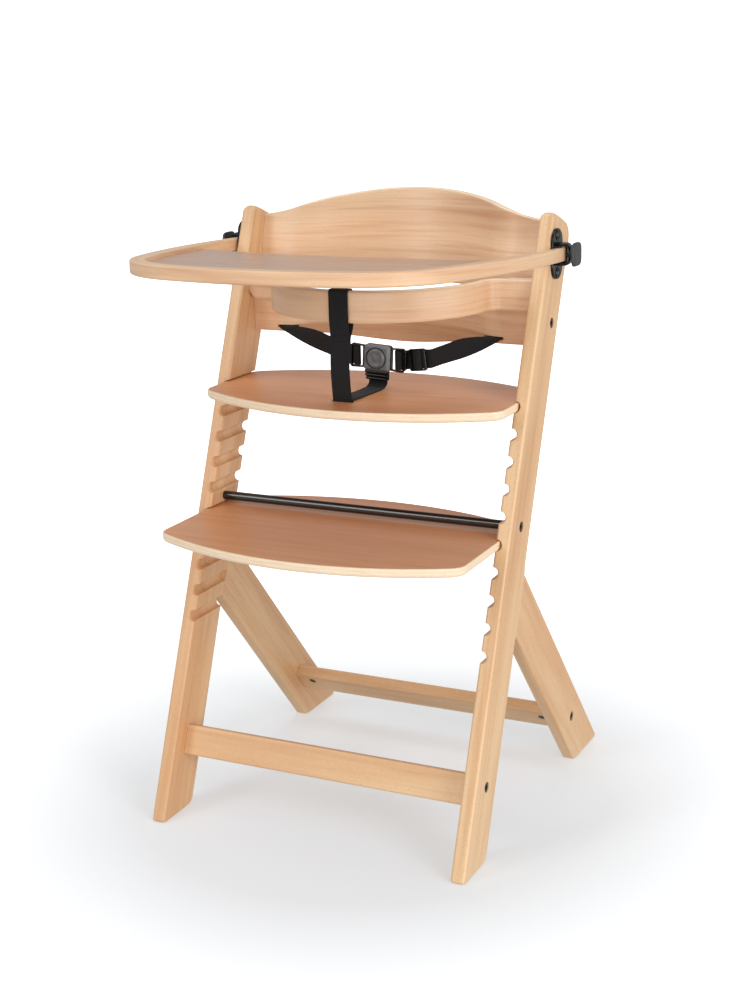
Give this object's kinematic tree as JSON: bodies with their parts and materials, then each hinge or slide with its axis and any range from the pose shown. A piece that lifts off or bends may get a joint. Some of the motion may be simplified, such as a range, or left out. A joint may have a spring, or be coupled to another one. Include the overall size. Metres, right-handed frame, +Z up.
{
  "type": "high_chair",
  "caption": "Wooden high chair with slotted leaning side planks, adjustable seat and footrest boards, bent back, guard rail, tray and harness.",
  "frame": {"origin": "centre of the bounding footprint, on the floor under the four feet", "axes": "+X to the right as seen from in front, +Y to the back of the chair, +Z up"},
  "size_m": [0.5106, 0.5824, 0.8],
  "materials": {
    "beech": "satin",
    "board_plywood": "satin",
    "dark_steel": "satin",
    "black_tube": "gloss",
    "black_plastic": "satin",
    "grey_plastic": "satin",
    "webbing": "matte"
  },
  "bodies": {
    "frame": {"left_upright": "beech", "right_upright": "beech", "left_rear_leg": "beech", "right_rear_leg": "beech", "front_rail": "beech", "rear_rail": "beech", "upper_back": "beech", "lower_back": "beech", "guard_rail": "beech", "left_leg_dowel_lower": "beech", "right_leg_dowel_lower": "beech", "left_leg_dowel_upper": "beech", "right_leg_dowel_upper": "beech", "left_back_dowel_lower": "beech", "right_back_dowel_lower": "beech", "left_back_dowel_upper": "beech", "right_back_dowel_upper": "beech", "left_front_rail_bolt": "dark_steel", "right_front_rail_bolt": "dark_steel", "left_rear_rail_bolt": "dark_steel", "right_rear_rail_bolt": "dark_steel", "left_front_rail_barrel_nut": "dark_steel", "right_front_rail_barrel_nut": "dark_steel", "left_rear_rail_barrel_nut": "dark_steel", "right_rear_rail_barrel_nut": "dark_steel", "left_tie_rod_bolt": "dark_steel", "right_tie_rod_bolt": "dark_steel", "left_lower_back_bolt": "dark_steel", "right_lower_back_bolt": "dark_steel", "left_guard_bolt": "dark_steel", "right_guard_bolt": "dark_steel", "left_bracket_screw_lower": "dark_steel", "right_bracket_screw_lower": "dark_steel", "left_bracket_screw_upper": "dark_steel", "right_bracket_screw_upper": "dark_steel", "left_knob_spring": "dark_steel", "right_knob_spring": "dark_steel", "button_spring": "dark_steel", "tie_rod": "black_tube", "left_tray_bracket": "black_plastic", "right_tray_bracket": "black_plastic", "left_strap_anchor": "black_plastic", "right_strap_anchor": "black_plastic", "buckle_back_shell": "black_plastic", "buckle_front_shell": "grey_plastic", "left_waist_strap": "webbing", "right_waist_strap": "webbing", "guard_strap": "webbing", "buckle_strap": "webbing"},
    "seat": {"seat_board": "board_plywood", "seat_strap_anchor": "black_plastic"},
    "footrest": {"footrest_board": "board_plywood"},
    "tray": {"tray_rim": "beech", "tray_panel": "board_plywood"},
    "left_knob": {"left_lock_knob": "grey_plastic"},
    "right_knob": {"right_lock_knob": "grey_plastic"},
    "button": {"release_button": "grey_plastic"},
    "left_buckle_tongue": {"left_tongue": "black_plastic"},
    "right_buckle_tongue": {"right_tongue": "black_plastic"},
    "adjuster": {"strap_adjuster": "black_plastic"}
  },
  "joints": [
    {"name": "tray_slide", "type": "slide", "parent": "frame", "child": "tray", "axis": [0, -0.9991, 0.0419], "range_m": [0, 0.03]},
    {"name": "seat_slide", "type": "slide", "parent": "frame", "child": "seat", "axis": [0, -1, 0], "range_m": [-0.02, 0.02], "deforming": ["guard_strap", "buckle_strap"]},
    {"name": "footrest_slide", "type": "slide", "parent": "frame", "child": "footrest", "axis": [0, -1, 0], "range_m": [-0.04, 0.06]},
    {"name": "left_knob_pull", "type": "slide", "parent": "frame", "child": "left_knob", "axis": [-1, 0, 0], "range_m": [0, 0.0039], "stiffness_N_per_m": 200, "springref_m": -0.003, "deforming": ["left_knob_spring"]},
    {"name": "right_knob_pull", "type": "slide", "parent": "frame", "child": "right_knob", "axis": [1, 0, 0], "range_m": [0, 0.0039], "stiffness_N_per_m": 200, "springref_m": -0.003, "deforming": ["right_knob_spring"]},
    {"name": "button_press", "type": "slide", "parent": "frame", "child": "button", "axis": [0, 1, 0], "range_m": [0, 0.0024], "stiffness_N_per_m": 300, "springref_m": -0.002, "deforming": ["button_spring"]},
    {"name": "left_tongue_release", "type": "slide", "parent": "frame", "child": "left_buckle_tongue", "axis": [-0.9981, 0, 0.0611], "range_m": [0, 0.02], "deforming": ["left_waist_strap"]},
    {"name": "right_tongue_release", "type": "slide", "parent": "frame", "child": "right_buckle_tongue", "axis": [0.9981, 0, -0.0611], "range_m": [0, 0.02], "deforming": ["right_waist_strap"]},
    {"name": "adjuster_slide", "type": "slide", "parent": "right_buckle_tongue", "child": "adjuster", "axis": [0.9981, 0, -0.0611], "range_m": [0, 0.012], "deforming": ["right_waist_strap"]}
  ]
}
